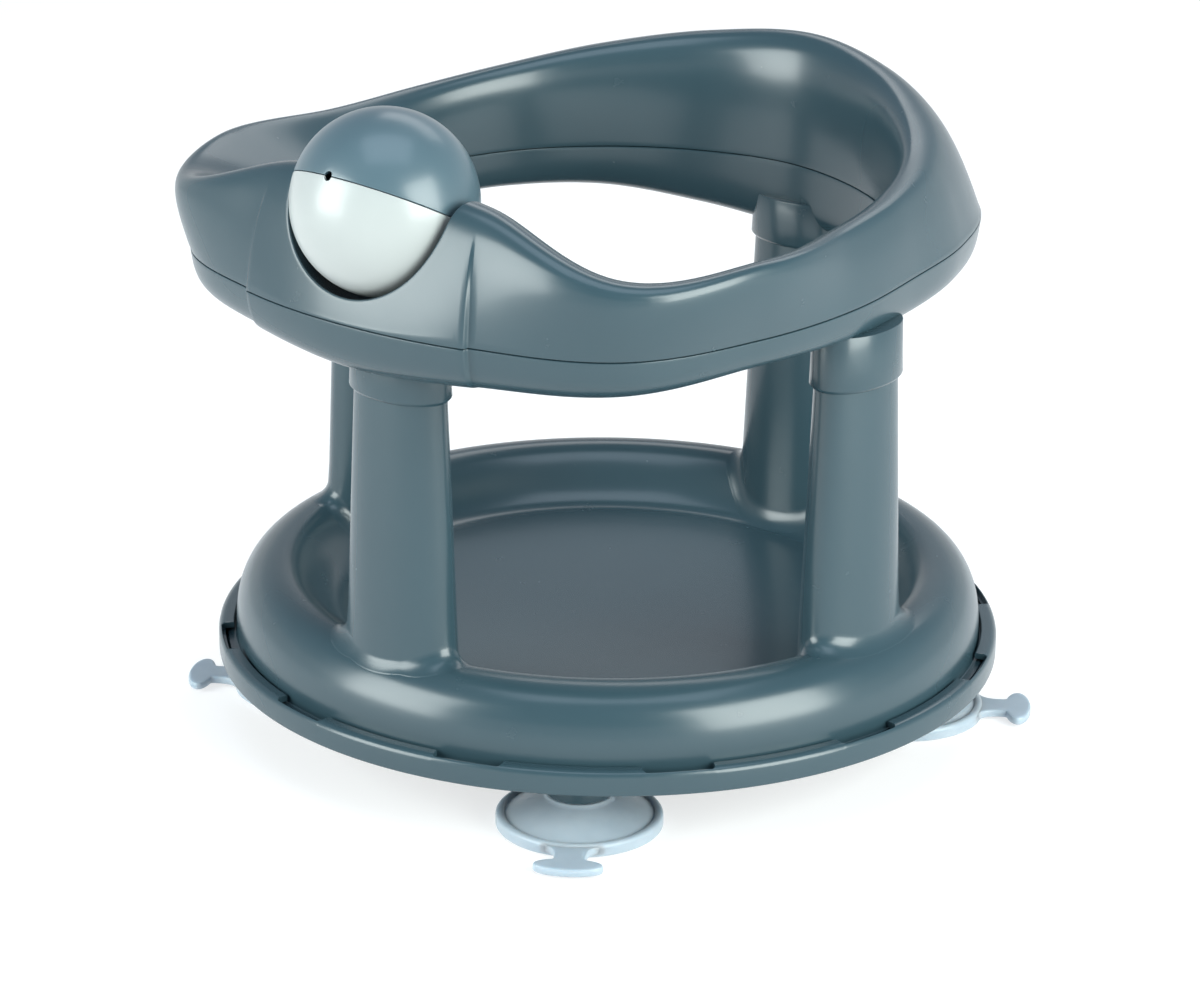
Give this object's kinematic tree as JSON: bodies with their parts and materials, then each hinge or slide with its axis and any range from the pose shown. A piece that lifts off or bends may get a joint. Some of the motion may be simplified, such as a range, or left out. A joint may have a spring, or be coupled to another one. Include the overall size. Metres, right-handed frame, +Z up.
{
  "type": "baby bath seat",
  "caption": "Swivelling baby bath seat: ring base on suction cups, turning dish with posts, moulded body ring and a rolling play ball.",
  "frame": {"origin": "on the bath floor, under the swivel axis", "axes": "+Z up the swivel axis; the four suction cups lie on the X and Y axes; at rest the ball faces towards -X and -Y, 33.7 degrees from -Y"},
  "size_m": [0.3126, 0.3126, 0.2513],
  "materials": {
    "shell_grey": "gloss",
    "ball_grey": "gloss",
    "ball_white": "gloss",
    "suction_cup": "translucent",
    "screw_steel": "satin",
    "pin_steel": "satin"
  },
  "bodies": {
    "base": {"base_ring": "shell_grey", "suction_cup_1": "suction_cup", "suction_cup_2": "suction_cup", "suction_cup_3": "suction_cup", "suction_cup_4": "suction_cup"},
    "seat": {"seat_dish": "shell_grey", "ring_lower_shell": "shell_grey", "ring_upper_shell": "shell_grey", "ring_screws": "screw_steel", "ball_pin_left": "pin_steel", "ball_pin_right": "pin_steel"},
    "ball": {"ball_upper_half": "ball_grey", "ball_lower_half": "ball_white"}
  },
  "joints": [
    {"name": "seat_swivel", "type": "hinge", "parent": "base", "child": "seat", "pos_m": [0, 0, 0.03], "axis": [0, 0, 1], "continuous": true},
    {"name": "ball_spin", "type": "hinge", "parent": "seat", "child": "ball", "pos_m": [-0.06714, -0.10067, 0.2193], "axis": [0.832, -0.5548, 0], "continuous": true}
  ]
}
